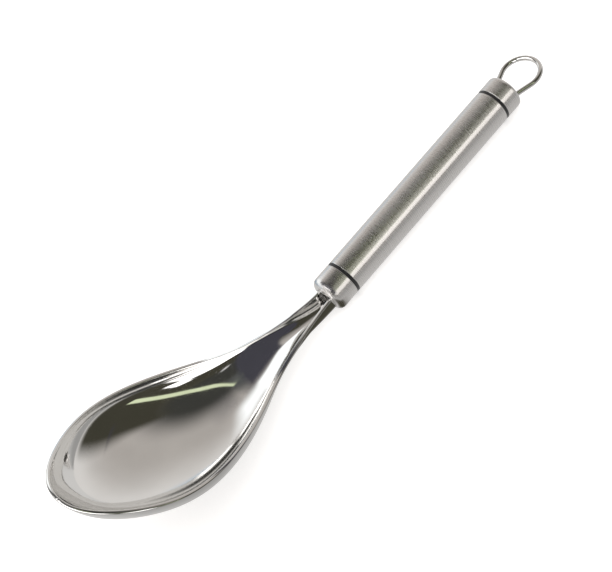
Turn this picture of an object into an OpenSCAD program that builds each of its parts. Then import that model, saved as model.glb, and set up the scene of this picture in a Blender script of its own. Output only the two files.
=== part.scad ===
// Serving spoon: a bowl, neck and tang pressed from one steel sheet, held in a round tubular handle
// with two capped ends, two black rings and a wire loop to hang it by.
// Sizes are in millimetres. The handle lies level along X with the bowl at -X, and Z = 0 is the lowest point.

/* [Bowl] */
// Reach of the bowl and neck, from the tip to the front cap
spoon_reach = 141; // [120:0.5:180]
// Width of the bowl between its rims
bowl_w = 70; // [54:1:84]
// Depth of the bowl below its rim
bowl_depth = 18.5; // [14:0.5:24]
// Height of the rim at the tip, above the handle's axis
tip_rise = 45.5; // [36:0.5:60]
// Thickness of the pressed sheet
sheet_t = 1.8; // [1.2:0.1:2]

/* [Neck] */
// Width inside the neck's channel where it enters the handle
neck_w = 6; // [4:0.2:8]
// Height of the channel's edges above the handle's axis
neck_rise = 2; // [0:0.2:4]
// Thickness of the neck plug left under the tang
tang_edge = 1.35; // [1:0.05:3]
// Length of the tang inside the handle
tang_len = 28; // [15:1:45]

/* [Handle] */
// Outside diameter of the handle
handle_d = 18; // [16:0.5:24]
// Wall of the tube and of both caps
handle_wall = 0.8; // [0.5:0.1:1.2]
// Length of the tube between the two rings
tube_len = 106.5; // [80:0.5:160]
// Width of each black ring
ring_w = 1.5; // [1:0.1:4]
// Length of the front cap
front_cap_len = 11.2; // [6:0.2:20]
// Outside radius of the front cap's nose
nose_r = 3; // [1.5:0.1:4]
// Length of the rear cap
rear_cap_len = 9.4; // [6:0.2:20]
// Outside radius of the rear cap's edge
tail_r = 1.8; // [1.5:0.1:4]
// Length of tube that each plug fills
plug_grip = 20; // [12:1:40]

/* [Hanging loop] */
// Diameter of the wire
wire_d = 2.5; // [1.5:0.1:3]
// Thickness of the rear plug left outside each leg
leg_edge = 0.45; // [0.3:0.05:1.5]
// Length of each leg inside the rear cap and plug
leg_in = 12; // [8:0.5:20]
// Radius of the bend where each leg leaves the rear cap
knee_r = 4; // [2:0.5:8]
// Angle at which the legs spread towards the bow
leg_lean = 20; // [14:1:30]
// Distance that the bow stands out beyond each leg
bow_flare = 3.1; // [2.4:0.1:6]

/* [Fits] */
// Gap between a plug and the wall around it
plug_clear = 0.05; // [0.02:0.01:0.15]
// Gap around the tang and around the wire's legs
pass_clear = 0.15; // [0.05:0.05:0.3]

/* [Hidden] */
$fn = 96;
steel = "#c8c7c4";
brushed = "#b4b2ae";
black = "#1e1e1e";
nylon = "#303030";
// How far every cut runs past the face that it opens
overrun = 1;

// Radii of the handle
handle_r = handle_d / 2;
bore_r = handle_r - handle_wall;
plug_r = bore_r - plug_clear;

// Places along the handle, counted from the nose of the front cap
front_ring_x = front_cap_len;
tube_x = front_ring_x + ring_w;
rear_ring_x = tube_x + tube_len;
rear_cap_x = rear_ring_x + ring_w;
handle_len = rear_cap_x + rear_cap_len;

// Channel of the neck and tang, which stands clear of the tube by the edge of plug below it
neck_floor = sheet_t + tang_edge - plug_r;
neck_depth = neck_rise - neck_floor;
neck_half = neck_w / 2;

// Hanging loop: the legs bend outwards by the lean and meet the bow along its tangents
leg_y = plug_r - leg_edge - pass_clear - wire_d / 2;
bow_r = leg_y + bow_flare;
knee_side = knee_r * (1 - cos(leg_lean));
leg_run = (bow_r * cos(leg_lean) - leg_y - knee_side) / sin(leg_lean);
bow_x = handle_len + knee_r * sin(leg_lean) + leg_run * cos(leg_lean) + bow_r * sin(leg_lean);
loop_end_x = bow_x + bow_r + wire_d / 2;

// Route of the wire from leg to leg, each point with its X, its Y and its heading
knee_steps = 5;
bow_steps = 36;
knee_route = [
    for (k = [0:knee_steps])
        let (a = leg_lean * k / knee_steps)
        [handle_len + knee_r * sin(a), leg_y + knee_r * (1 - cos(a)), a]
];
bow_route = [
    for (k = [0:bow_steps])
        let (a = (90 + leg_lean) * (1 - 2 * k / bow_steps))
        [bow_x + bow_r * cos(a), bow_r * sin(a), a - 90]
];
leg_route = concat([[handle_len - leg_in, leg_y, 0]], knee_route);
far_leg_route = [for (k = [len(leg_route) - 1:-1:0]) let (p = leg_route[k]) [p[0], -p[1], -180 - p[2]]];
wire_route = concat(leg_route, bow_route, far_leg_route);
wire_sides = 16;
wire_rings = [
    for (p = wire_route) [
        for (j = [0:wire_sides - 1])
            let (side = wire_d / 2 * cos(360 * j / wire_sides), up = wire_d / 2 * sin(360 * j / wire_sides))
            [p[0] - side * sin(p[2]), p[1] + side * cos(p[2]), up]
    ]
];

// Control tables of the sheet from the tip to the front cap, as shares of the bowl's own sizes
station_shares = [0, 0, 0.015, 0.205, 0.40, 0.60, 0.725, 0.94, 1];
half_width_shares = [0, 0.12, 0.47, 1.06, 0.98, 0.57, 0.28];
rim_rise_shares = [1, 1, 0.98, 0.67, 0.41, 0.17, 0.08, 0, 0];
depth_shares = [0, 0, 0.92, 1.04, 0.98, 0.54, 0.05];
stations = [for (s = station_shares) spoon_reach * (s - 1)];
half_widths = concat([for (s = half_width_shares) s * bowl_w / 2], [neck_half, neck_half]);
rims = [for (s = rim_rise_shares) neck_rise + s * (tip_rise - neck_rise)];
depths = concat([for (s = depth_shares) s * bowl_depth], [neck_depth, neck_depth]);

// Fineness of the sheet, and where along its length the blunt end of the tip starts
rows = 46;
columns = 26;
tip_share = 0.02;
step_share = 0.001;
last_share = 1 - 1e-9;

// Clamped cubic spline through a control table, at t from 0 to 1
degree = 3;
spans = len(stations) - degree;
function knot(i) = min(max(i - degree, 0), spans) / spans;
function ramp(part, whole) = whole > 0 ? part / whole : 0;
function basis(i, k, t) = k == 0
    ? (knot(i) <= t && t < knot(i + 1) ? 1 : 0)
    : ramp(t - knot(i), knot(i + k) - knot(i)) * basis(i, k - 1, t)
        + ramp(knot(i + k + 1) - t, knot(i + k + 1) - knot(i + 1)) * basis(i + 1, k - 1, t);
function weights(t) = [for (i = [0:len(stations) - 1]) basis(i, degree, min(t, last_share))];

// One cross-section: its place along X, its half width, the height of its rim and its depth
function section(t) = let (blend = weights(t))
    [stations * blend, half_widths * blend, rims * blend, depths * blend];

// A point of the inside of the sheet, v from -1 to 1 along the section from rim to rim.
// A section is half an ellipse, or half a circle with upright walls where it is deeper than that.
function sheet_point(s, v) = let (
    bend = min(s[3], s[1]),
    bend_run = PI / 4 * (s[1] + bend),
    run = abs(v) * (bend_run + s[3] - bend),
    turn = 90 * min(run / bend_run, 1),
    wall = max(run - bend_run, 0)
) [s[0], sign(v) * s[1] * sin(turn), s[2] - s[3] + bend * (1 - cos(turn)) + wall];

// The direction out of the sheet, away from what the spoon holds
function outward(before, here, after, v) = let (
    along = sheet_point(after, v) - sheet_point(before, v),
    across = sheet_point(here, min(v + step_share, 1)) - sheet_point(here, max(v - step_share, -1)),
    up = cross(along, across)
) -up / norm(up);

row_ts = [for (i = [0:rows]) tip_share + (1 - tip_share) * i / rows];
column_vs = [for (j = [0:columns]) 2 * j / columns - 1];
inside_rows = [for (t = row_ts) let (s = section(t)) [for (v = column_vs) sheet_point(s, v)]];
outside_rows = [
    for (i = [0:rows])
        let (
            before = section(row_ts[i] - step_share),
            here = section(row_ts[i]),
            after = section(min(row_ts[i] + step_share, 1))
        )
        [for (j = [0:columns]) inside_rows[i][j] + sheet_t * outward(before, here, after, column_vs[j])]
];
function at_tang_end(points) = [for (p = points) [tang_len, p[1], p[2]]];
inside = concat(inside_rows, [at_tang_end(inside_rows[rows])]);
outside = concat(outside_rows, [at_tang_end(outside_rows[rows])]);

// The part stands on its lowest point, and its origin is below the middle of its length
tip_x = min([for (row = outside_rows) for (p = row) p[0]]);
keel_z = min([for (row = outside_rows) for (p = row) p[2]]);
middle_x = (tip_x + loop_end_x) / 2;
axis_z = max(handle_r, -keel_z);

// Two triangles that fill a cell with four corners
function cell(a, b, c, d) = [[a, b, c], [a, c, d]];

module in_place() {
    translate([-middle_x, 0, axis_z]) children();
}

// A round bar along X whose end at x = 0 has a rounded edge
module nosed_bar(r, length, edge_r) {
    rotate([0, 90, 0])
        rotate_extrude() {
            square([r - edge_r, length]);
            translate([0, edge_r]) square([r, length - edge_r]);
            translate([r - edge_r, edge_r]) circle(r = edge_r);
        }
}

module bar(r, length) {
    rotate([0, 90, 0]) cylinder(r = r, h = length);
}

// A cup along X, closed by its rounded end at x = 0
module cup(length, edge_r) {
    difference() {
        nosed_bar(handle_r, length, edge_r);
        translate([handle_wall, 0, 0]) nosed_bar(bore_r, length, edge_r - handle_wall);
    }
}

// Outline of a channel in the plane across the handle, with a round floor and an open top
module channel_outline(half_w, floor_z, top_z) {
    translate([0, floor_z + half_w]) circle(r = half_w);
    translate([-half_w, floor_z + half_w]) square([2 * half_w, top_z - floor_z - half_w]);
}

// Stands an outline drawn across the handle up along X
module along_x(length) {
    rotate([90, 0, 90]) linear_extrude(length) children();
}

module tang_outline() {
    channel_outline(neck_half + sheet_t + pass_clear, neck_floor - sheet_t - pass_clear, neck_rise + pass_clear);
}

module tang_core_outline() {
    channel_outline(neck_half - pass_clear, neck_floor + pass_clear, neck_rise + overrun);
}

module leg_holes(from_x, length) {
    for (side = [-1, 1])
        translate([from_x, side * leg_y, 0]) bar(wire_d / 2 + pass_clear, length);
}

module spoon_bowl() {
    across = columns + 1;
    down = len(inside);
    under = across * down;
    function id(i, j) = i * across + j;
    skins = [
        for (i = [0:down - 2]) for (j = [0:columns - 1])
            let (a = id(i, j), b = id(i + 1, j), c = id(i + 1, j + 1), d = id(i, j + 1))
            each concat(cell(a, d, c, b), cell(under + a, under + b, under + c, under + d))
    ];
    rim_edges = [
        for (i = [0:down - 2]) for (j = [0, columns])
            let (a = id(i, j), b = id(i + 1, j))
            each j == 0 ? cell(a, b, under + b, under + a) : cell(b, a, under + a, under + b)
    ];
    end_edges = [
        for (i = [0, down - 1]) for (j = [0:columns - 1])
            let (a = id(i, j), b = id(i, j + 1))
            each i == 0 ? cell(b, a, under + a, under + b) : cell(a, b, under + b, under + a)
    ];
    color(steel)
        in_place()
            polyhedron(
                points = [for (skin = [inside, outside]) for (row = skin) each row],
                faces = concat(skins, rim_edges, end_edges)
            );
}

module front_cap() {
    color(brushed)
        in_place()
            difference() {
                cup(front_cap_len, nose_r);
                translate([-overrun, 0, 0]) along_x(nose_r + overrun) tang_outline();
            }
}

module ring(from_x) {
    color(black)
        in_place()
            translate([from_x, 0, 0])
                difference() {
                    bar(handle_r, ring_w);
                    translate([-overrun, 0, 0]) bar(bore_r, ring_w + 2 * overrun);
                }
}

module front_ring() {
    ring(front_ring_x);
}

module neck_plug() {
    color(nylon)
        in_place()
            difference() {
                translate([handle_wall, 0, 0])
                    nosed_bar(plug_r, tube_x + plug_grip - handle_wall, nose_r - handle_wall);
                along_x(tang_len + pass_clear)
                    difference() {
                        tang_outline();
                        tang_core_outline();
                    }
            }
}

module handle_tube() {
    color(brushed)
        in_place()
            translate([tube_x, 0, 0])
                difference() {
                    bar(handle_r, tube_len);
                    translate([-overrun, 0, 0]) bar(bore_r, tube_len + 2 * overrun);
                }
}

module rear_plug() {
    color(nylon)
        in_place()
            difference() {
                translate([handle_len - handle_wall, 0, 0])
                    mirror([1, 0, 0])
                        nosed_bar(plug_r, handle_len - handle_wall - rear_ring_x + plug_grip, tail_r - handle_wall);
                leg_holes(handle_len - leg_in - pass_clear, leg_in + pass_clear);
            }
}

module rear_ring() {
    ring(rear_ring_x);
}

module rear_cap() {
    color(brushed)
        in_place()
            difference() {
                translate([handle_len, 0, 0]) mirror([1, 0, 0]) cup(rear_cap_len, tail_r);
                leg_holes(handle_len - tail_r, tail_r + overrun);
            }
}

module hanging_loop() {
    last = len(wire_rings) - 1;
    function id(i, j) = i * wire_sides + j % wire_sides;
    sides = [
        for (i = [0:last - 1]) for (j = [0:wire_sides - 1])
            each cell(id(i, j), id(i + 1, j), id(i + 1, j + 1), id(i, j + 1))
    ];
    ends = [
        [for (j = [0:wire_sides - 1]) id(0, j)],
        [for (j = [0:wire_sides - 1]) id(last, wire_sides - 1 - j)]
    ];
    color(steel)
        in_place()
            polyhedron(points = [for (ring = wire_rings) each ring], faces = concat(sides, ends));
}

spoon_bowl();
front_cap();
front_ring();
neck_plug();
handle_tube();
rear_plug();
rear_ring();
rear_cap();
hanging_loop();
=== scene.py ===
"""Serving spoon: polished bowl on a satin tube handle, with black joint rings and a hanging loop.

Every length is in metres. The handle lies along X with the bowl at the low end, and Z is up.
"""
import math

import bmesh
import bpy
from mathutils import Matrix, Vector


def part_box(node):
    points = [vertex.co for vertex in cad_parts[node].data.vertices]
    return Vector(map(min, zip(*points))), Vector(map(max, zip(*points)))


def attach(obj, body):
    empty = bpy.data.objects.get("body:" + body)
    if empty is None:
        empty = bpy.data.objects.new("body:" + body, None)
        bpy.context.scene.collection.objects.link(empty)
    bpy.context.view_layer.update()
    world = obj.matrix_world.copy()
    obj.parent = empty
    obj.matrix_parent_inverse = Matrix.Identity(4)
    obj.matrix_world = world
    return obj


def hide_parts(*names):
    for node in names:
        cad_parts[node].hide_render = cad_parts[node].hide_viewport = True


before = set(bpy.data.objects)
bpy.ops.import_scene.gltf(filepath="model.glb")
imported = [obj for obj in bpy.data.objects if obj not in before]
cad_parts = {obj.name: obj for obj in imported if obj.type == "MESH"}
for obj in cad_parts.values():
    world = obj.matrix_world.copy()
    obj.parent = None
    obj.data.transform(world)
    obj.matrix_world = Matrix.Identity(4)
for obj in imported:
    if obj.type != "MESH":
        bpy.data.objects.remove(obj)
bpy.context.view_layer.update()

MM = 0.001
BODY = "root"

# Places taken from the frame
CAP_LOW, CAP_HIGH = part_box("front_cap")
FRONT_RING_LOW, FRONT_RING_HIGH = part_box("front_ring")
TUBE_LOW, TUBE_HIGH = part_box("handle_tube")
REAR_RING_LOW, REAR_RING_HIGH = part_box("rear_ring")
REAR_LOW, REAR_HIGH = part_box("rear_cap")
LOOP_LOW, LOOP_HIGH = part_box("hanging_loop")
TANG_END_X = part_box("spoon_bowl")[1].x

NOSE_X = CAP_LOW.x
HANDLE_R = (TUBE_HIGH.y - TUBE_LOW.y) / 2
AXIS_Z = (TUBE_HIGH.z + TUBE_LOW.z) / 2
HANDLE_AXIS = Vector((1, 0, 0))

# Sizes of the pressed sheet
SPOON_REACH = 141 * MM
BOWL_W = 70 * MM
BOWL_DEPTH = 18.5 * MM
TIP_RISE = 45.5 * MM
NECK_RISE = 2 * MM
NECK_W = 6 * MM
NECK_DEPTH = 7 * MM
SHEET_T = 1.8 * MM
RIM_ROUND = 0.5 * MM
RIM_STEPS = 4
TIP_SHARE = 0.0219
BOWL_ROWS = 190
BOWL_COLUMNS = 96
CRISP_ANGLE = math.radians(32)
WELD = 1e-7

# Curves of the sheet from the tip to the cap's nose, as shares of the sizes above
STATION_SHARES = (0, 0, 0.015, 0.205, 0.40, 0.60, 0.725, 0.94, 1)
HALF_WIDTH_SHARES = (0, 0.12, 0.47, 1.06, 0.98, 0.57, 0.28)
RIM_RISE_SHARES = (1, 1, 0.98, 0.67, 0.41, 0.17, 0.08, 0, 0)
DEPTH_SHARES = (0, 0, 0.92, 1.04, 0.98, 0.54, 0.05)

# Sizes of the handle's turned pieces
NOSE_ROUND = 3 * MM
TAIL_ROUND = 1.8 * MM
WALL = 0.8 * MM
EDGE_ROUND = 0.25 * MM
EDGE_BAND = 0.5 * MM
RING_SINK = 0.12 * MM
TURN_STEPS = 128
ROUND_STEPS = 6
SLOT_STEPS = 24
PASS_CLEAR = 0.15 * MM

# Sizes of the wire loop
WIRE_R = (LOOP_HIGH.z - LOOP_LOW.z) / 2
LEG_Y = 6.3 * MM
KNEE_R = 4 * MM
LEG_LEAN = math.radians(20)
BOW_R = LOOP_HIGH.y - WIRE_R
WIRE_SIDES = 32
KNEE_STEPS = 8
BOW_STEPS = 72

# Finishes
GRAIN_SPAN = (0.3, 0.7)
RANGE_SOCKETS = ("From Min", "From Max", "To Min", "To Max")
RING_SHADES = ((0.010, 0.010, 0.011), (0.020, 0.020, 0.021))
NYLON_SHADES = ((0.085, 0.080, 0.072), (0.100, 0.095, 0.085))
FLOOR_SHADES = ((0.895, 0.893, 0.89), (0.905, 0.903, 0.90))
POLISH_SHADES = ((0.72, 0.715, 0.70), (0.78, 0.775, 0.76))
SATIN_SHADES = ((0.695, 0.68, 0.665), (0.725, 0.71, 0.695))

# Camera and studio, placed from the cap's nose and the handle's axis
CAMERA_EYE = Vector((NOSE_X - 132.69 * MM, -381.41 * MM, AXIS_Z + 481.75 * MM))
CAMERA_AIM = Vector((NOSE_X - 0.459 * MM, 13.007 * MM, AXIS_Z))
CAMERA_ROLL = math.radians(34.597)
CAMERA_LENS = 83.214
SPOON_MIDDLE = Vector((0, 0, AXIS_Z))
FLOOR_R = 12
FLOOR_SIDES = 64
CARD_STEPS = (48, 24)
FIRST_BOUNCE = 1.5
TABLE_TONES = (-80 * MM, 30 * MM, 0.40, 0.74)
NECK_REACH = 70 * MM
NECK_SOFT = (0.1, 0.1)
NECK_DARK = (0.83, 0.81, 1.0)
MAT_RUN = (-26 * MM, 8 * MM)
MAT_SPAN = (-26 * MM, -2 * MM)
MAT_LIFT = 0.5 * MM
MAT_SOFT = (0.2, 0.2)
SOFTBOX_AWAY = 350 * MM
SOFTBOX_L = 550 * MM
SOFTBOX_X = 170 * MM
SOFTBOX_COLOUR = (1.0, 0.965, 0.945)
LAMP_SIZE = 1.6
LAMP_AWAY = 1.8
SURROUND = (0.84, 0.815, 0.795, 1)

# Cards close around the neck: run along the handle, turns about it from +Y, radius, colour, strength
NECK_CARDS = {
    "neck flag": ((-58 * MM, 4 * MM), (41, 162), 60 * MM, NECK_DARK, 0.082),
    "neck flag end": ((-10 * MM, 10 * MM), (86, 144), 60 * MM, NECK_DARK, 0.082),
    "neck blue": ((-66 * MM, 8 * MM), (-8, 22), 34 * MM, (0.65, 0.83, 1.0), 0.55),
    "neck screen": ((-54 * MM, 12 * MM), (14, 50), 32 * MM, (0.97, 0.99, 1.0), 1.4),
}
# Softboxes for the handle: turn about it from +Y and spread in degrees, brightness
HANDLE_SOFTBOXES = {"bright softbox": (157, 24, 1.25), "dim softbox": (132, 26, 0.2)}
# Broad lamps: azimuth and elevation in degrees, power
ROOM_LAMPS = {"key": (-60, 62, 5), "fill": (120, 58, 5), "top": (0, 88, 4)}


def spline_weights(count, t):
    """Weights of a clamped, evenly knotted cubic spline's control points at t from 0 to 1."""
    degree = 3
    inner = count - degree
    knots = [0.0] * degree + [i / inner for i in range(inner + 1)] + [1.0] * degree
    t = min(max(t, 0.0), 1.0 - 1e-9)
    weights = [1.0 if knots[i] <= t < knots[i + 1] else 0.0 for i in range(count + degree)]
    for d in range(1, degree + 1):
        raised = []
        for i in range(count + degree - d):
            rising = knots[i + d] - knots[i]
            falling = knots[i + d + 1] - knots[i + 1]
            value = (t - knots[i]) / rising * weights[i] if rising else 0.0
            value += (knots[i + d + 1] - t) / falling * weights[i + 1] if falling else 0.0
            raised.append(value)
        weights = raised
    return weights


def along(controls, t):
    """Value of the spline through the named controls at t."""
    return sum(c * w for c, w in zip(controls, spline_weights(len(controls), t)))


STATIONS = [SPOON_REACH * (s - 1) for s in STATION_SHARES]
HALF_WIDTHS = [s * BOWL_W / 2 for s in HALF_WIDTH_SHARES] + [NECK_W / 2] * 2
RIM_RISES = [NECK_RISE + s * (TIP_RISE - NECK_RISE) for s in RIM_RISE_SHARES]
DEPTHS = [s * BOWL_DEPTH for s in DEPTH_SHARES] + [NECK_DEPTH] * 2


def section(t):
    """Place along the handle, half width, rim height and depth of the sheet's section at t."""
    return [along(c, t) for c in (STATIONS, HALF_WIDTHS, RIM_RISES, DEPTHS)]


def sheet_point(row, v):
    """Point on the inside of a section, half an ellipse, with upright walls where it is deeper than wide.

    v runs from -1 to 1 and stops at either side where the rim starts to round over.
    """
    x, half, rim, depth = row
    bend = min(depth, half)
    rise = max(depth - RIM_ROUND, 0.01 * MM)
    full_turn = math.acos(1 - min(rise / bend, 1))
    bend_run = full_turn * (half + bend) / 2
    run = abs(v) * (bend_run + max(rise - bend, 0))
    turn = full_turn * min(run / bend_run, 1)
    wall = max(run - bend_run, 0)
    y = math.copysign(half * math.sin(turn), v)
    z = rim - depth + bend * (1 - math.cos(turn)) + wall
    return Vector((NOSE_X + x, y, AXIS_Z + z))


def verts_of(geom):
    """The vertices in an operator's result."""
    return [g for g in geom if isinstance(g, bmesh.types.BMVert)]


def edges_of(geom):
    """The edges in an operator's result."""
    return [g for g in geom if isinstance(g, bmesh.types.BMEdge)]


def open_edges(bm):
    """The edges where a sheet ends."""
    return [e for e in bm.edges if e.is_boundary]


def placed(name, data):
    """New object in the scene, at the origin."""
    thing = bpy.data.objects.new(name, data)
    bpy.context.scene.collection.objects.link(thing)
    return thing


def new_piece(bm, name, material, slot, *nodes):
    """Makes a bmesh a finished piece that stands for the named nodes."""
    mesh = bpy.data.meshes.new(name)
    bm.to_mesh(mesh)
    bm.free()
    mesh.shade_smooth()
    piece = placed(name, mesh)
    mesh.materials.append(material)
    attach(piece, BODY)
    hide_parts(*nodes)
    return piece


def pressed_bowl(material):
    """Bowl, shoulders, channelled neck and tang, pressed from one sheet with a rounded rim."""
    bm = bmesh.new()
    bmesh.ops.create_grid(bm, x_segments=BOWL_ROWS, y_segments=BOWL_COLUMNS, size=1)
    rows = {}
    for vert in bm.verts:
        share = (vert.co.x + 1) / 2
        if share not in rows:
            rows[share] = section(TIP_SHARE + (1 - TIP_SHARE) * share)
        vert.co = sheet_point(rows[share], vert.co.y)
    mouth = max(v.co.x for v in bm.verts)
    mouth_edges = [e for e in open_edges(bm) if min(v.co.x for v in e.verts) > mouth - WELD]
    tang = bmesh.ops.extrude_edge_only(bm, edges=mouth_edges)["geom"]
    bmesh.ops.translate(bm, verts=verts_of(tang), vec=(TANG_END_X - mouth, 0, 0))
    bmesh.ops.recalc_face_normals(bm, faces=bm.faces)
    if sum(f.normal.z for f in bm.faces) < 0:
        bmesh.ops.reverse_faces(bm, faces=bm.faces)
    bm.normal_update()
    rim = [e for e in open_edges(bm) if min(v.co.x for v in e.verts) < TANG_END_X - WELD]
    starts = {v: (v.co.copy(), -v.normal) for e in rim for v in e.verts}
    outside = bmesh.ops.duplicate(bm, geom=bm.verts[:] + bm.edges[:] + bm.faces[:])["geom"]
    moves = [(v, -v.normal * SHEET_T) for v in verts_of(outside)]
    for vert, move in moves:
        vert.co += move
    bmesh.ops.reverse_faces(bm, faces=[g for g in outside if isinstance(g, bmesh.types.BMFace)])
    for across, above in rim_profile():
        grown = bmesh.ops.extrude_edge_only(bm, edges=rim)["geom"]
        rim = edges_of(grown)
        starts = {v: starts[below(v, starts)] for v in verts_of(grown)}
        for vert, (start, outward) in starts.items():
            vert.co = start + outward * across + Vector((0, 0, above))
    bmesh.ops.remove_doubles(bm, verts=bm.verts, dist=WELD)
    bmesh.ops.holes_fill(bm, edges=open_edges(bm))
    bmesh.ops.recalc_face_normals(bm, faces=bm.faces)
    piece = new_piece(bm, "pressed_bowl", material, "polished_steel", "spoon_bowl")
    sharp_corners(piece)
    return piece


def rim_profile():
    """Steps over the rim, rounded at both corners, as distances across the sheet and above its last row."""
    turns = [math.pi / 2 * i / RIM_STEPS for i in range(1, RIM_STEPS + 1)]
    inner = [(RIM_ROUND * (1 - math.cos(a)), RIM_ROUND * math.sin(a)) for a in turns]
    flat = SHEET_T - RIM_ROUND
    outer = [(flat + RIM_ROUND * math.sin(a), RIM_ROUND * math.cos(a)) for a in turns]
    return inner + [(flat, RIM_ROUND)] + outer


def below(vert, ring):
    """Vertex of the ring that a grown vertex stands on."""
    return next(e.other_vert(vert) for e in vert.link_edges if e.other_vert(vert) in ring)


def turned(bm, outline, rounds):
    """Spins a closed outline of (x, radius) points about the handle's axis and rounds the listed corners."""
    verts = [bm.verts.new((x, 0, AXIS_Z + r)) for x, r in outline]
    edges = [bm.edges.new((a, b)) for a, b in zip(verts, verts[1:] + verts[:1])]
    bmesh.ops.spin(
        bm,
        geom=verts + edges,
        cent=(0, 0, AXIS_Z),
        axis=HANDLE_AXIS,
        angle=2 * math.pi,
        steps=TURN_STEPS,
        use_merge=True,
    )
    bmesh.ops.remove_doubles(bm, verts=bm.verts, dist=WELD)
    bmesh.ops.recalc_face_normals(bm, faces=bm.faces)
    for x, r, size in rounds:
        corner = [e for e in bm.edges if lies_on(e, x, r)]
        bmesh.ops.bevel(
            bm, geom=corner, offset=size, segments=ROUND_STEPS, profile=0.5, affect="EDGES", material=-1
        )


def lies_on(edge, x, r):
    """True for an edge on the circle of radius r at x about the handle's axis."""
    near = 1e-6
    return all(
        abs(v.co.x - x) < near and abs(math.hypot(v.co.y, v.co.z - AXIS_Z) - r) < near for v in edge.verts
    )


def opened(piece, cutters):
    """Cuts the cutters out of a piece and keeps the cut mesh."""
    for cutter in cutters:
        cut = piece.modifiers.new("opening", "BOOLEAN")
        cut.operation = "DIFFERENCE"
        cut.solver = "EXACT"
        cut.object = cutter
    bpy.context.view_layer.update()
    graph = bpy.context.evaluated_depsgraph_get()
    cut_mesh = bpy.data.meshes.new_from_object(piece.evaluated_get(graph))
    cut_mesh.name = piece.name
    whole = piece.data
    piece.modifiers.clear()
    piece.data = cut_mesh
    bpy.data.meshes.remove(whole)
    for cutter in cutters:
        spare = cutter.data
        bpy.data.objects.remove(cutter)
        bpy.data.meshes.remove(spare)
    sharp_corners(piece)
    return piece


def sharp_corners(piece):
    """Smooth shading that stays crisp at corners."""
    piece.data.shade_smooth()
    piece.data.set_sharp_from_angle(angle=CRISP_ANGLE)


def cutter_object(bm):
    """A loose object to cut another piece with."""
    mesh = bpy.data.meshes.new("cutter")
    bmesh.ops.recalc_face_normals(bm, faces=bm.faces)
    bm.to_mesh(mesh)
    bm.free()
    return placed("cutter", mesh)


def neck_slot():
    """Cutter for the slot in the front cap's nose, a little wider than the neck's channel."""
    half = NECK_W / 2 + SHEET_T + PASS_CLEAR
    floor = NECK_RISE - NECK_DEPTH - SHEET_T - PASS_CLEAR
    top = NECK_RISE + PASS_CLEAR
    bm = bmesh.new()
    start = bm.verts.new((NOSE_X - NOSE_ROUND, half, AXIS_Z + top))
    side = bm.verts.new((NOSE_X - NOSE_ROUND, half, AXIS_Z + floor + half))
    bm.edges.new((start, side))
    bmesh.ops.spin(
        bm,
        geom=[side],
        cent=(NOSE_X - NOSE_ROUND, 0, AXIS_Z + floor + half),
        axis=HANDLE_AXIS,
        angle=-math.pi,
        steps=SLOT_STEPS,
    )
    last = min(bm.verts, key=lambda v: v.co.y + abs(v.co.z - AXIS_Z - floor - half))
    end = bm.verts.new((NOSE_X - NOSE_ROUND, -half, AXIS_Z + top))
    bm.edges.new((last, end))
    bm.edges.new((end, start))
    face = bmesh.ops.contextual_create(bm, geom=bm.edges[:])["faces"]
    deep = bmesh.ops.extrude_face_region(bm, geom=face)["geom"]
    bmesh.ops.translate(bm, verts=verts_of(deep), vec=(2 * NOSE_ROUND, 0, 0))
    return cutter_object(bm)


def across_handle(x, y):
    """Place at the axis's height for a round shape that faces along the handle."""
    return Matrix.Translation((x, y, AXIS_Z)) @ Matrix.Rotation(math.pi / 2, 4, "Y")


def leg_hole(side):
    """Cutter for the hole in the rear cap that one leg of the wire passes through."""
    bm = bmesh.new()
    bmesh.ops.create_cone(
        bm,
        cap_ends=True,
        segments=WIRE_SIDES,
        radius1=WIRE_R + PASS_CLEAR,
        radius2=WIRE_R + PASS_CLEAR,
        depth=3 * TAIL_ROUND,
        matrix=across_handle(REAR_HIGH.x, side * LEG_Y),
    )
    return cutter_object(bm)


def cup(name, mouth_x, end_x, edge_round, material):
    """Short steel cup with a rounded closed end, open towards the tube."""
    way = math.copysign(1, end_x - mouth_x)
    bore = HANDLE_R - WALL
    bm = bmesh.new()
    outline = [
        (mouth_x, bore),
        (mouth_x, HANDLE_R),
        (mouth_x + way * EDGE_BAND, HANDLE_R),
        (end_x - way * (edge_round + EDGE_BAND), HANDLE_R),
        (end_x, HANDLE_R),
        (end_x, HANDLE_R - edge_round - EDGE_BAND),
        (end_x, 0),
        (end_x - way * WALL, 0),
        (end_x - way * WALL, bore),
    ]
    rounds = [
        (end_x, HANDLE_R, edge_round),
        (end_x - way * WALL, bore, edge_round - WALL),
        (mouth_x, HANDLE_R, EDGE_ROUND),
    ]
    turned(bm, outline, rounds)
    brush_map(bm)
    return new_piece(bm, name + "_satin", material, "brushed_steel", name)


def handle_tube(material):
    """Long brushed tube between the two black rings."""
    low, high = TUBE_LOW.x, TUBE_HIGH.x
    bore = HANDLE_R - WALL
    bm = bmesh.new()
    outline = [
        (low, bore),
        (low, HANDLE_R),
        (low + EDGE_BAND, HANDLE_R),
        (high - EDGE_BAND, HANDLE_R),
        (high, HANDLE_R),
        (high, bore),
    ]
    turned(bm, outline, [(low, HANDLE_R, EDGE_ROUND), (high, HANDLE_R, EDGE_ROUND)])
    brush_map(bm)
    return new_piece(bm, "handle_tube_satin", material, "brushed_steel", "handle_tube")


def joint_ring(name, low, high, material):
    """Narrow black ring set a hair below the steel on either side of it."""
    bore = HANDLE_R - WALL
    top = HANDLE_R - RING_SINK
    bm = bmesh.new()
    outline = [
        (low, bore),
        (low, top),
        (low + EDGE_BAND, top),
        (high - EDGE_BAND, top),
        (high, top),
        (high, bore),
    ]
    turned(bm, outline, [])
    piece = new_piece(bm, name + "_black", material, "black_plastic", name)
    sharp_corners(piece)
    return piece


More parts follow.
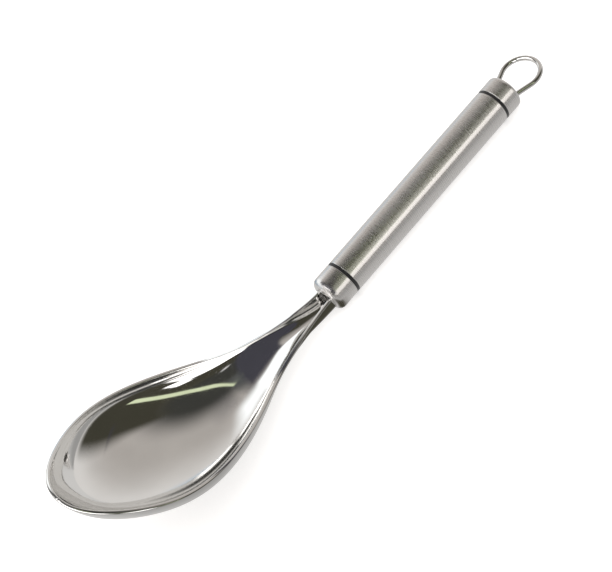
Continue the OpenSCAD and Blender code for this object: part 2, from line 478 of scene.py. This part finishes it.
def wire_loop(material):
    """Bent wire: a leg, a knee, the bow and the same again on the other side."""
    knee_side = KNEE_R * (1 - math.cos(LEG_LEAN))
    leg_run = (BOW_R * math.cos(LEG_LEAN) - LEG_Y - knee_side) / math.sin(LEG_LEAN)
    knee_out = KNEE_R * math.sin(LEG_LEAN)
    bow_x = REAR_HIGH.x + knee_out + leg_run * math.cos(LEG_LEAN) + BOW_R * math.sin(LEG_LEAN)
    leg_in = REAR_HIGH.x - LOOP_LOW.x
    knee_y = LEG_Y + KNEE_R
    spread = Vector((leg_run * math.cos(LEG_LEAN), leg_run * math.sin(LEG_LEAN), 0))
    gather = Vector((-spread.x, spread.y, 0))
    bm = bmesh.new()
    start = across_handle(LOOP_LOW.x, LEG_Y)
    bmesh.ops.create_circle(bm, cap_ends=True, segments=WIRE_SIDES, radius=WIRE_R, matrix=start)
    ring = bm.edges[:]
    ring = drawn(bm, ring, Vector((leg_in, 0, 0)))
    ring = bent(bm, ring, (REAR_HIGH.x, knee_y), LEG_LEAN, KNEE_STEPS)
    ring = drawn(bm, ring, spread)
    ring = bent(bm, ring, (bow_x, 0), -(math.pi + 2 * LEG_LEAN), BOW_STEPS)
    ring = drawn(bm, ring, gather)
    ring = bent(bm, ring, (REAR_HIGH.x, -knee_y), LEG_LEAN, KNEE_STEPS)
    ring = drawn(bm, ring, Vector((-leg_in, 0, 0)))
    bmesh.ops.holes_fill(bm, edges=ring)
    bmesh.ops.remove_doubles(bm, verts=bm.verts, dist=WELD)
    bmesh.ops.recalc_face_normals(bm, faces=bm.faces)
    piece = new_piece(bm, "wire_loop", material, "polished_steel", "hanging_loop")
    sharp_corners(piece)
    return piece


def drawn(bm, ring, run):
    """Draws the wire's end ring out straight and returns the new end ring."""
    grown = bmesh.ops.extrude_edge_only(bm, edges=ring)["geom"]
    bmesh.ops.translate(bm, verts=verts_of(grown), vec=run)
    return edges_of(grown)


def bent(bm, ring, centre, angle, steps):
    """Bends the wire's end ring level about a centre and returns the new end ring."""
    grown = bmesh.ops.spin(
        bm, geom=ring, cent=(centre[0], centre[1], AXIS_Z), axis=(0, 0, 1), angle=angle, steps=steps
    )["geom_last"]
    return edges_of(grown)


def brush_map(bm):
    """UV map whose U runs along the handle and over its ends, so that the satin scatters light that way."""
    layer = bm.loops.layers.uv.new("brushing")
    middle = (REAR_HIGH.x + NOSE_X) / 2
    for face in bm.faces:
        centre = face.calc_center_median()
        facing = math.atan2(centre.y, centre.z - AXIS_Z)
        for loop in face.loops:
            co = loop.vert.co
            radius = math.hypot(co.y, co.z - AXIS_Z)
            turn = math.atan2(co.y, co.z - AXIS_Z) - facing
            turn = (turn + math.pi) % (2 * math.pi) - math.pi
            end = math.copysign(HANDLE_R - radius, co.x - middle)
            loop[layer].uv = ((co.x - middle + end) / HANDLE_R, (facing + turn) / math.pi)


def bare_material(name):
    """Node material with no nodes in it yet."""
    material = bpy.data.materials.new(name)
    material.use_nodes = True
    tree = material.node_tree
    tree.nodes.clear()
    return material, tree


def node_material(name):
    """Material with its shader and output joined."""
    material, tree = bare_material(name)
    shader = tree.nodes.new("ShaderNodeBsdfPrincipled")
    output = tree.nodes.new("ShaderNodeOutputMaterial")
    tree.links.new(shader.outputs["BSDF"], output.inputs["Surface"])
    return material, tree, shader


def grain(tree, scale, detail, stretch=(1, 1, 1)):
    """Noise in the object's own coordinates, stretched along its axes."""
    coords = tree.nodes.new("ShaderNodeTexCoord")
    mapping = tree.nodes.new("ShaderNodeMapping")
    mapping.inputs["Scale"].default_value = stretch
    noise = tree.nodes.new("ShaderNodeTexNoise")
    noise.inputs["Scale"].default_value = scale
    noise.inputs["Detail"].default_value = detail
    tree.links.new(coords.outputs["Object"], mapping.inputs["Vector"])
    tree.links.new(mapping.outputs["Vector"], noise.inputs["Vector"])
    return noise.outputs["Fac"]


def shades(tree, fac, dark, light, socket):
    """Runs a shader's colour between two shades."""
    ramp = tree.nodes.new("ShaderNodeValToRGB")
    for stop, place, shade in zip(ramp.color_ramp.elements, GRAIN_SPAN, (dark, light)):
        stop.position = place
        stop.color = (*shade, 1)
    tree.links.new(fac, ramp.inputs["Fac"])
    tree.links.new(ramp.outputs["Color"], socket)


def between(tree, fac, low, high, socket):
    """Runs a shader's value between two limits."""
    span = tree.nodes.new("ShaderNodeMapRange")
    for name, value in zip(RANGE_SOCKETS, (*GRAIN_SPAN, low, high)):
        span.inputs[name].default_value = value
    tree.links.new(fac, span.inputs["Value"])
    tree.links.new(span.outputs["Result"], socket)


def relief(tree, fac, height, shader):
    """Raises the surface by a noise, with the height in metres."""
    bump = tree.nodes.new("ShaderNodeBump")
    bump.inputs["Strength"].default_value = 1
    bump.inputs["Distance"].default_value = height
    tree.links.new(fac, bump.inputs["Height"])
    tree.links.new(bump.outputs["Normal"], shader.inputs["Normal"])


def polished_steel():
    """Mirror finish with the faint waviness of a pressed and buffed sheet."""
    material, tree, shader = node_material("polished steel")
    shader.inputs["Metallic"].default_value = 1
    shades(tree, grain(tree, 55, 2), *POLISH_SHADES, shader.inputs["Base Color"])
    between(tree, grain(tree, 160, 3), 0.05, 0.085, shader.inputs["Roughness"])
    relief(tree, grain(tree, 70, 0), 0.08 * MM, shader)
    return material


def satin_steel():
    """Satin finish with fine lines around the handle, which spread reflections along it."""
    material, tree, shader = node_material("satin steel")
    shader.inputs["Metallic"].default_value = 1
    shader.inputs["Anisotropic"].default_value = 0.82
    lines = grain(tree, 1700, 3, (1, 0.02, 0.02))
    shades(tree, lines, *SATIN_SHADES, shader.inputs["Base Color"])
    between(tree, lines, 0.265, 0.285, shader.inputs["Roughness"])
    tangent = tree.nodes.new("ShaderNodeTangent")
    tangent.direction_type = "UV_MAP"
    tangent.uv_map = "brushing"
    tree.links.new(tangent.outputs["Tangent"], shader.inputs["Tangent"])
    return material


def black_moulding():
    """Satin black moulded plastic."""
    material, tree, shader = node_material("black moulding")
    shades(tree, grain(tree, 900, 2), *RING_SHADES, shader.inputs["Base Color"])
    between(tree, grain(tree, 1400, 2), 0.34, 0.46, shader.inputs["Roughness"])
    return material


def plug_nylon():
    """Matt nylon of the plugs inside the handle."""
    material, tree, shader = node_material("plug nylon")
    shades(tree, grain(tree, 700, 2), *NYLON_SHADES, shader.inputs["Base Color"])
    between(tree, grain(tree, 1200, 2), 0.5, 0.65, shader.inputs["Roughness"])
    return material


def pale_floor():
    """Plain near-white floor."""
    material, tree, shader = node_material("pale floor")
    shades(tree, grain(tree, 3, 2), *FLOOR_SHADES, shader.inputs["Base Color"])
    shader.inputs["Roughness"].default_value = 0.9
    shader.inputs["Specular IOR Level"].default_value = 0.1
    shader.inputs["Emission Color"].default_value = (1, 1, 1, 1)
    shader.inputs["Emission Strength"].default_value = 0.4
    bm = bmesh.new()
    bmesh.ops.create_circle(bm, cap_ends=True, segments=FLOOR_SIDES, radius=FLOOR_R)
    staged(bm, "floor", material).visible_glossy = False


def staged(bm, name, material):
    """An object of the studio that is no part of the spoon."""
    mesh = bpy.data.meshes.new(name)
    bm.to_mesh(mesh)
    bm.free()
    mesh.materials.append(material)
    thing = placed(name, mesh)
    return thing


def bearing(azimuth, elevation):
    """Direction from an azimuth counted from +X and an elevation above the floor, in degrees."""
    a, e = math.radians(azimuth), math.radians(elevation)
    return Vector((math.cos(e) * math.cos(a), math.cos(e) * math.sin(a), math.sin(e)))


def soft_glow(name, colour, strength, soft_u, soft_v, once, reach=None):
    """Glow that fades out towards the edges of a card's UV square.

    With once set, it shows in the steel's first reflection and not in reflections of reflections.
    With a reach, it shows only in steel that is closer than that.
    """
    material, tree = bare_material(name)
    coords = tree.nodes.new("ShaderNodeUVMap")
    coords.uv_map = "spread"
    split = tree.nodes.new("ShaderNodeSeparateXYZ")
    tree.links.new(coords.outputs["UV"], split.inputs["Vector"])
    shown = faded(tree, split.outputs["X"], soft_u)
    shown = product(tree, shown, faded(tree, split.outputs["Y"], soft_v))
    if once:
        shown = product(tree, shown, path_under(tree, "Ray Depth", FIRST_BOUNCE))
    if reach:
        shown = product(tree, shown, path_under(tree, "Ray Length", reach))
    clear = tree.nodes.new("ShaderNodeBsdfTransparent")
    light = tree.nodes.new("ShaderNodeEmission")
    light.inputs["Color"].default_value = (*colour, 1)
    light.inputs["Strength"].default_value = strength
    blend = tree.nodes.new("ShaderNodeMixShader")
    output = tree.nodes.new("ShaderNodeOutputMaterial")
    tree.links.new(shown, blend.inputs["Fac"])
    tree.links.new(clear.outputs["BSDF"], blend.inputs[1])
    tree.links.new(light.outputs["Emission"], blend.inputs[2])
    tree.links.new(blend.outputs["Shader"], output.inputs["Surface"])
    material.cycles.emission_sampling = "NONE"
    return material


def faded(tree, place, soft):
    """Fade from 0 at both ends of a card to 1 inside it."""
    fold = tree.nodes.new("ShaderNodeMath")
    fold.operation = "PINGPONG"
    fold.inputs[1].default_value = 0.5
    fade = tree.nodes.new("ShaderNodeMapRange")
    fade.interpolation_type = "SMOOTHSTEP"
    fade.inputs["From Max"].default_value = soft
    tree.links.new(place, fold.inputs[0])
    tree.links.new(fold.outputs["Value"], fade.inputs["Value"])
    return fade.outputs["Result"]


def path_under(tree, measure, limit):
    """1 where a measure of the light's path is under a limit, 0 elsewhere."""
    path = tree.nodes.new("ShaderNodeLightPath")
    under = tree.nodes.new("ShaderNodeMath")
    under.operation = "LESS_THAN"
    under.inputs[1].default_value = limit
    tree.links.new(path.outputs[measure], under.inputs[0])
    return under.outputs["Value"]


def product(tree, one, other):
    """Two values multiplied."""
    times = tree.nodes.new("ShaderNodeMath")
    times.operation = "MULTIPLY"
    tree.links.new(one, times.inputs[0])
    tree.links.new(other, times.inputs[1])
    return times.outputs["Value"]


def seen_in_steel_only(sheet):
    """Hides a studio card from everything but reflections."""
    sheet.visible_camera = False
    sheet.visible_diffuse = False
    sheet.visible_shadow = False
    sheet.visible_transmission = False
    sheet.visible_volume_scatter = False


def card(name, place, distance, material):
    """Sheet that only reflections see; place turns (u, v) from 0 to 1 into a way from the spoon's middle."""
    bm = bmesh.new()
    bmesh.ops.create_grid(bm, x_segments=CARD_STEPS[0], y_segments=CARD_STEPS[1], size=0.5)
    layer = bm.loops.layers.uv.new("spread")
    for face in bm.faces:
        for loop in face.loops:
            loop[layer].uv = (loop.vert.co.x + 0.5, loop.vert.co.y + 0.5)
    for vert in bm.verts:
        vert.co = SPOON_MIDDLE + place(vert.co.x + 0.5, vert.co.y + 0.5) * distance
    seen_in_steel_only(staged(bm, name, material))


def sky_patch(name, azimuths, elevations, distance, colour, strength, soft, lean=0, once=True):
    """Card over a range of azimuths and elevations, with its top leaning to a higher azimuth."""

    def place(u, v):
        return bearing(
            azimuths[0] + lean * v + (azimuths[1] - azimuths[0]) * u,
            elevations[0] + (elevations[1] - elevations[0]) * v,
        )

    card(name, place, distance, soft_glow(name, colour, strength, *soft, once))


def strip_lamp(name, start, end, widths, distance, colour, strength):
    """Lamp seen between two bearings, with its widths at the two ends as shares of its distance."""
    side = start.cross(end).normalized()
    arc = start.angle(end)

    def place(u, v):
        middle = Matrix.Rotation(arc * u, 3, side) @ start
        width = widths[0] + (widths[1] - widths[0]) * u
        return (middle + side * width * (v - 0.5)).normalized()

    card(name, place, distance, soft_glow(name, colour, strength, 0.02, 0.15, True))


def grey_tabletop():
    """The floor as the steel sees it, darker on the side of low Y."""
    material, tree = bare_material("grey tabletop")
    coords = tree.nodes.new("ShaderNodeTexCoord")
    split = tree.nodes.new("ShaderNodeSeparateXYZ")
    tone = tree.nodes.new("ShaderNodeMapRange")
    tone.interpolation_type = "SMOOTHSTEP"
    for name, value in zip(RANGE_SOCKETS, TABLE_TONES):
        tone.inputs[name].default_value = value
    light = tree.nodes.new("ShaderNodeEmission")
    light.inputs["Color"].default_value = (1.0, 0.985, 0.97, 1)
    output = tree.nodes.new("ShaderNodeOutputMaterial")
    tree.links.new(coords.outputs["Object"], split.inputs["Vector"])
    tree.links.new(split.outputs["Y"], tone.inputs["Value"])
    tree.links.new(tone.outputs["Result"], light.inputs["Strength"])
    tree.links.new(light.outputs["Emission"], output.inputs["Surface"])
    material.cycles.emission_sampling = "NONE"
    bm = bmesh.new()
    bmesh.ops.create_circle(bm, cap_ends=True, segments=FLOOR_SIDES, radius=FLOOR_R)
    seen_in_steel_only(staged(bm, "tabletop", material))


def neck_card(name, run, turns, radius, colour, strength):
    """Card bent close around one side of the neck."""
    material = soft_glow(name, colour, strength, *NECK_SOFT, True, NECK_REACH)

    def place(u, v):
        turn = math.radians(turns[0] + (turns[1] - turns[0]) * v)
        x = NOSE_X + run[0] + (run[1] - run[0]) * u
        return Vector((x, radius * math.cos(turn), radius * math.sin(turn)))

    card(name, place, 1, material)


def neck_mat():
    """Small dark mat on the table beside the end of the neck."""
    material = soft_glow("neck mat", (1.0, 0.95, 0.70), 0.07, *MAT_SOFT, True, NECK_REACH)

    def place(u, v):
        x = NOSE_X + MAT_RUN[0] + (MAT_RUN[1] - MAT_RUN[0]) * u
        y = MAT_SPAN[0] + (MAT_SPAN[1] - MAT_SPAN[0]) * v
        return Vector((x, y, MAT_LIFT - AXIS_Z))

    card("neck mat", place, 1, material)


def handle_softbox(name, turn, spread, brightness, lit):
    """Long lamp beside the handle for the satin pieces alone; turn counts about the handle from +Y."""
    a = math.radians(turn)
    toward = Vector((0, math.cos(a), math.sin(a)))
    lamp = bpy.data.lights.new(name, "AREA")
    lamp.shape = "RECTANGLE"
    lamp.color = SOFTBOX_COLOUR
    lamp.size = SOFTBOX_L
    lamp.size_y = 2 * SOFTBOX_AWAY * math.tan(math.radians(spread) / 2)
    lamp.energy = brightness * math.pi * lamp.size * lamp.size_y
    holder = placed(name, lamp)
    facing = Matrix((HANDLE_AXIS, toward.cross(HANDLE_AXIS), toward)).transposed().to_4x4()
    place = Vector((SOFTBOX_X, 0, AXIS_Z)) + toward * SOFTBOX_AWAY
    holder.matrix_world = Matrix.Translation(place) @ facing
    holder.visible_camera = False
    holder.light_linking.receiver_collection = lit


def handle_lights(*pieces):
    """Bright and dim softboxes that give the satin handle its bands."""
    lit = bpy.data.collections.new("satin handle")
    for piece in pieces:
        lit.objects.link(piece)
    for name, measures in HANDLE_SOFTBOXES.items():
        handle_softbox(name, *measures, lit)


def studio_surroundings():
    """Pale wall in front of the camera, a dark room and ceiling behind it, windows and lamps."""
    sky_patch("pale wall", (-48, 116), (4, 116), 3.0, (1.0, 0.935, 0.88), 0.54, (0.05, 0.34), lean=-10)
    sky_patch(
        "dark ceiling", (-180, 0), (46, 134), 2.8, (1.0, 1.0, 0.90), 0.055, (0.0001, 0.29), once=False
    )
    sky_patch("dark room", (-207, -4), (-2, 75), 2.6, (1.0, 0.95, 0.70), 0.062, (0.106, 0.14), lean=18)
    sky_patch("dark corner", (90, 126), (-2, 90), 2.5, (0.96, 1.0, 1.0), 0.11, (0.35, 0.25), once=False)
    sky_patch("blue wall", (60, 96), (-2, 14), 2.4, (0.70, 0.85, 1.0), 0.85, (0.31, 0.4))
    sky_patch("white screen", (77, 105), (8, 48), 2.3, (0.97, 0.99, 1.0), 1.4, (0.36, 0.40))
    sky_patch("window", (-128, -106), (12, 46), 2.2, (1.0, 0.98, 0.98), 3.0, (0.15, 0.2), once=False)
    sky_patch("side window", (-108, -97), (33, 50), 2.2, (1.0, 0.98, 0.98), 3.0, (0.2, 0.2), once=False)
    sky_patch("rear window", (118, 232), (33, 74), 2.2, (1.0, 0.98, 0.98), 3.0, (0.08, 0.12), once=False)
    strip_lamp(
        "strip lamp", bearing(-78.5, 28), bearing(101, 66), (0.17, 0.03), 2.1, (0.91, 1.0, 0.67), 0.95
    )


def soft_lights():
    """Broad lamps for the floor and the black rings, left out of the steel's reflections."""
    for name, (azimuth, elevation, power) in ROOM_LAMPS.items():
        lamp = bpy.data.lights.new(name, "AREA")
        lamp.shape = "DISK"
        lamp.size = LAMP_SIZE
        lamp.energy = power
        holder = placed(name, lamp)
        toward = bearing(azimuth, elevation)
        holder.location = SPOON_MIDDLE + toward * LAMP_AWAY
        holder.rotation_euler = toward.to_track_quat("Z", "Y").to_euler()
        holder.visible_glossy = False
    world = bpy.data.worlds.new("pale surround")
    world.use_nodes = True
    shade = world.node_tree.nodes["Background"]
    shade.inputs["Color"].default_value = SURROUND
    shade.inputs["Strength"].default_value = 1
    bpy.context.scene.world = world


def photo_camera():
    """Camera at the photograph's place, turn and lens."""
    ahead = (CAMERA_AIM - CAMERA_EYE).normalized()
    level = ahead.cross(Vector((0, 0, 1))).normalized()
    upright = level.cross(ahead)
    up = upright * math.cos(CAMERA_ROLL) + level * math.sin(CAMERA_ROLL)
    right = ahead.cross(up)
    lens = bpy.data.cameras.new("camera")
    lens.sensor_width = 36
    lens.sensor_fit = "HORIZONTAL"
    lens.lens = CAMERA_LENS
    lens.clip_start = 0.01
    lens.clip_end = 50
    holder = placed("camera", lens)
    holder.matrix_world = Matrix.Translation(CAMERA_EYE) @ Matrix((right, up, -ahead)).transposed().to_4x4()
    bpy.context.scene.camera = holder


mirror = polished_steel()
satin = satin_steel()
black = black_moulding()
nylon = plug_nylon()

pressed_bowl(mirror)
front_cap = opened(cup("front_cap", CAP_HIGH.x, CAP_LOW.x, NOSE_ROUND, satin), [neck_slot()])
joint_ring("front_ring", FRONT_RING_LOW.x, FRONT_RING_HIGH.x, black)
tube = handle_tube(satin)
joint_ring("rear_ring", REAR_RING_LOW.x, REAR_RING_HIGH.x, black)
rear_cap = opened(cup("rear_cap", REAR_LOW.x, REAR_HIGH.x, TAIL_ROUND, satin), [leg_hole(-1), leg_hole(1)])
wire_loop(mirror)
for hidden in ("neck_plug", "rear_plug"):
    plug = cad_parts[hidden]
    plug.data.materials.clear()
    plug.data.materials.append(nylon)

pale_floor()
grey_tabletop()
studio_surroundings()
for card_name, measures in NECK_CARDS.items():
    neck_card(card_name, *measures)
neck_mat()
handle_lights(front_cap, tube, rear_cap)
soft_lights()
photo_camera()
bpy.context.scene.view_settings.view_transform = "Standard"
